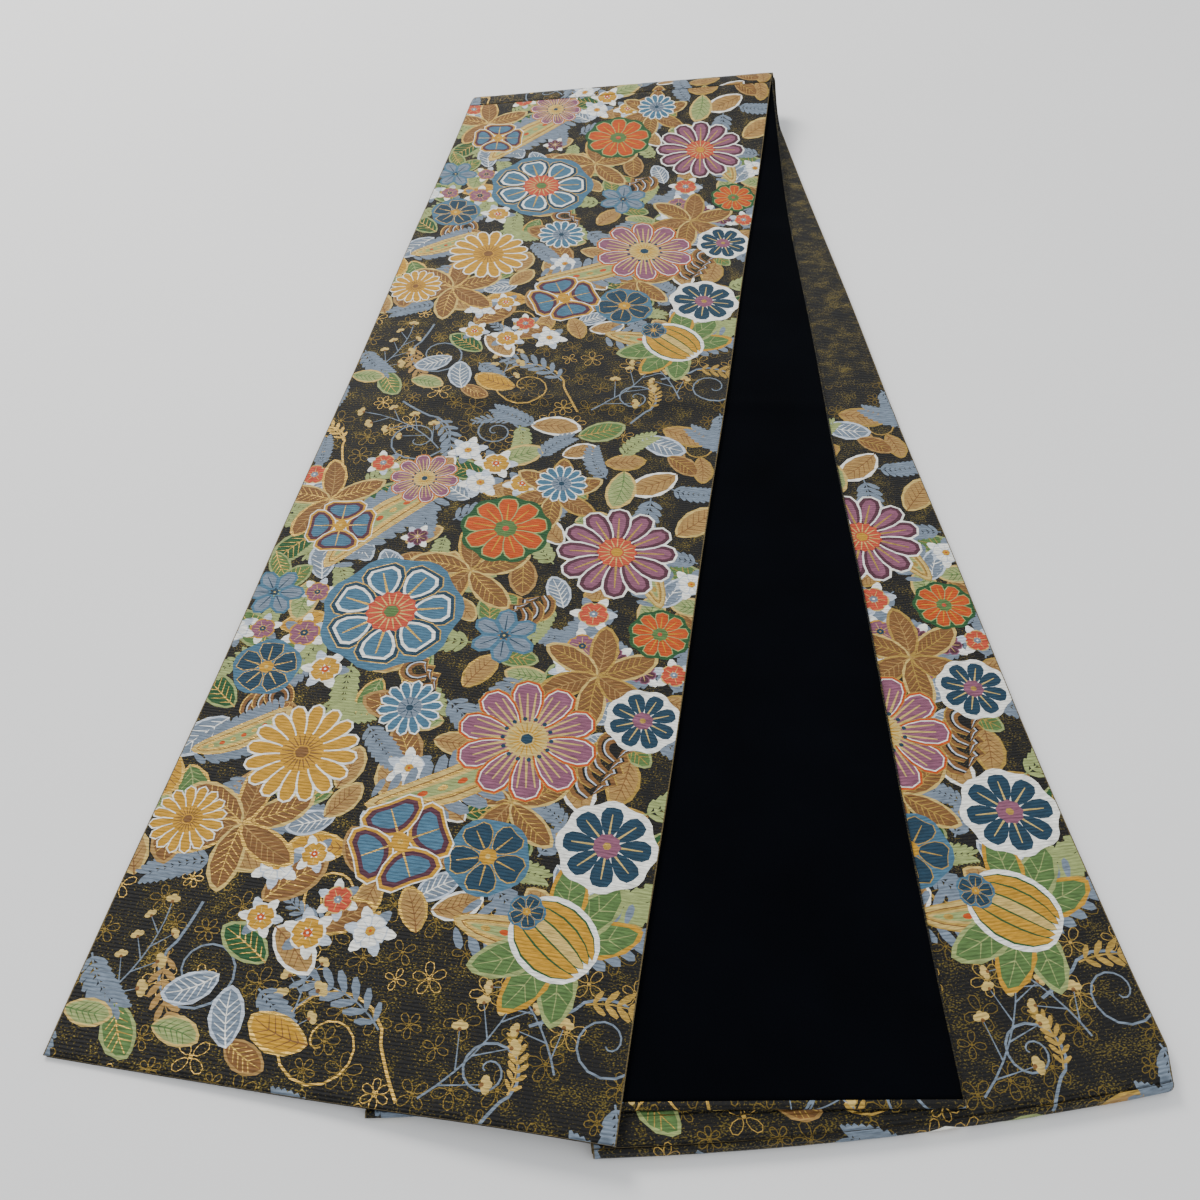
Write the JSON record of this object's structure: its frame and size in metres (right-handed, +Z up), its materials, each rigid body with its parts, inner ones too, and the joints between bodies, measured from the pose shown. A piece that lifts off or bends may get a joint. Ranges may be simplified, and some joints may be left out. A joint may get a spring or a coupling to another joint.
{
  "type": "folded obi sash",
  "caption": "Wide brocade obi sash with a plain black lining, folded into stretches that are fanned out and lying flat, with a soft raised fold at the far end.",
  "frame": {"origin": "on the surface the sash lies on, under the middle of its bounding box", "axes": "+Y along the sash from its free ends to its raised far folds, +X across it to the right, +Z up"},
  "size_m": [0.599, 1.0599, 0.0458],
  "materials": {
    "brocade": "figured silk weave with gold thread",
    "lining": "matte plain weave"
  },
  "bodies": {
    "root": {"topFace": "brocade", "topLining": "lining", "secondFace": "brocade", "secondLining": "lining", "thirdFace": "brocade", "thirdLining": "lining", "underFace": "brocade", "underLining": "lining", "outerFarFoldFace": "brocade", "outerFarFoldLining": "lining", "innerFarFoldFace": "brocade", "innerFarFoldLining": "lining", "nearFoldFace": "brocade", "nearFoldLining": "lining", "secondEndHem": "brocade"}
  },
  "joints": []
}
